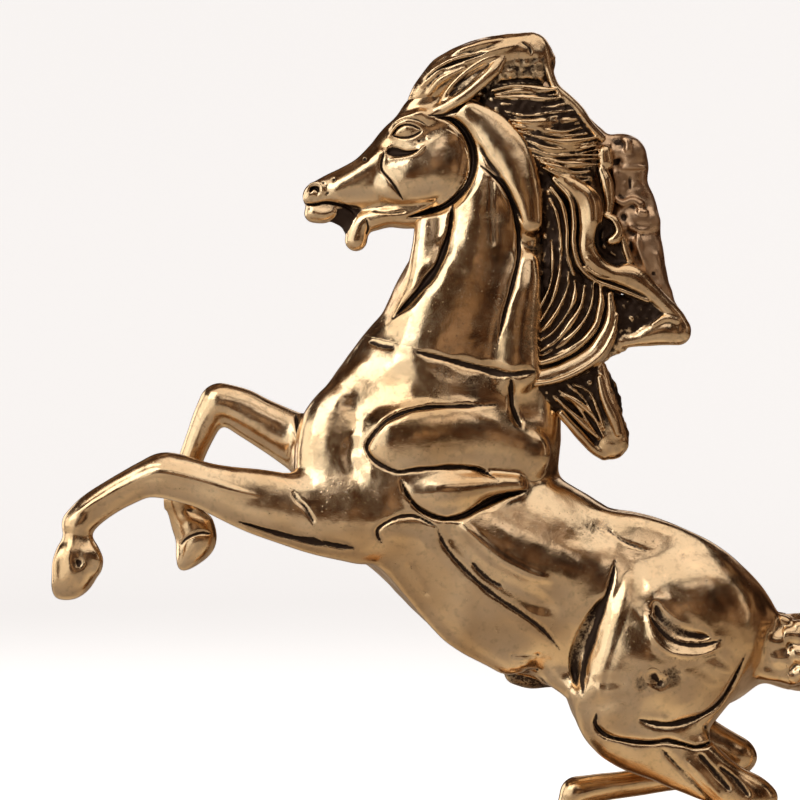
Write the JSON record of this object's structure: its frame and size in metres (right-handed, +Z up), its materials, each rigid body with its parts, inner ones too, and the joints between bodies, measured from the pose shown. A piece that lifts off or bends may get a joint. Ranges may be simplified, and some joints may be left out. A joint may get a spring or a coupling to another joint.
{
  "type": "rearing horse statue",
  "caption": "Cast bronze statue of a rearing horse with a flowing mane, standing on a hind hoof and its tail on a flat rounded base with a felt underside.",
  "frame": {"origin": "centre of the felt's underside, on the surface that the statue stands on", "axes": "+Z up; the horse faces -X; its near (left) side faces -Y"},
  "size_m": [0.3202, 0.09, 0.3308],
  "materials": {
    "bronze_polished": "polished golden-brown bronze with near-black patina in the recesses",
    "bronze_matte": "browner bronze, left rougher and less polished",
    "steel": "plain zinc-plated steel",
    "felt": "dark green felt"
  },
  "bodies": {
    "root": {"base_casting": "bronze_polished", "belly_plug": "bronze_polished", "far_foreleg_casting": "bronze_polished", "far_foreleg_pin": "steel", "far_haunch_plug": "bronze_polished", "far_hindleg_casting": "bronze_polished", "far_hindleg_pin": "steel", "far_mane_casting": "bronze_matte", "felt_sheet": "felt", "head_and_neck_casting": "bronze_polished", "hoof_nut": "steel", "hoof_stud": "steel", "hoof_washer": "steel", "near_foreleg_casting": "bronze_polished", "near_foreleg_pin": "steel", "near_haunch_plug": "bronze_polished", "near_hindleg_casting": "bronze_polished", "near_hindleg_pin": "steel", "near_mane_casting": "bronze_polished", "neck_pin_front": "steel", "neck_pin_rear": "steel", "tail_casting": "bronze_polished", "tail_nut": "steel", "tail_pin": "steel", "tail_stud": "steel", "tail_washer": "steel", "torso_casting": "bronze_polished"}
  },
  "joints": []
}
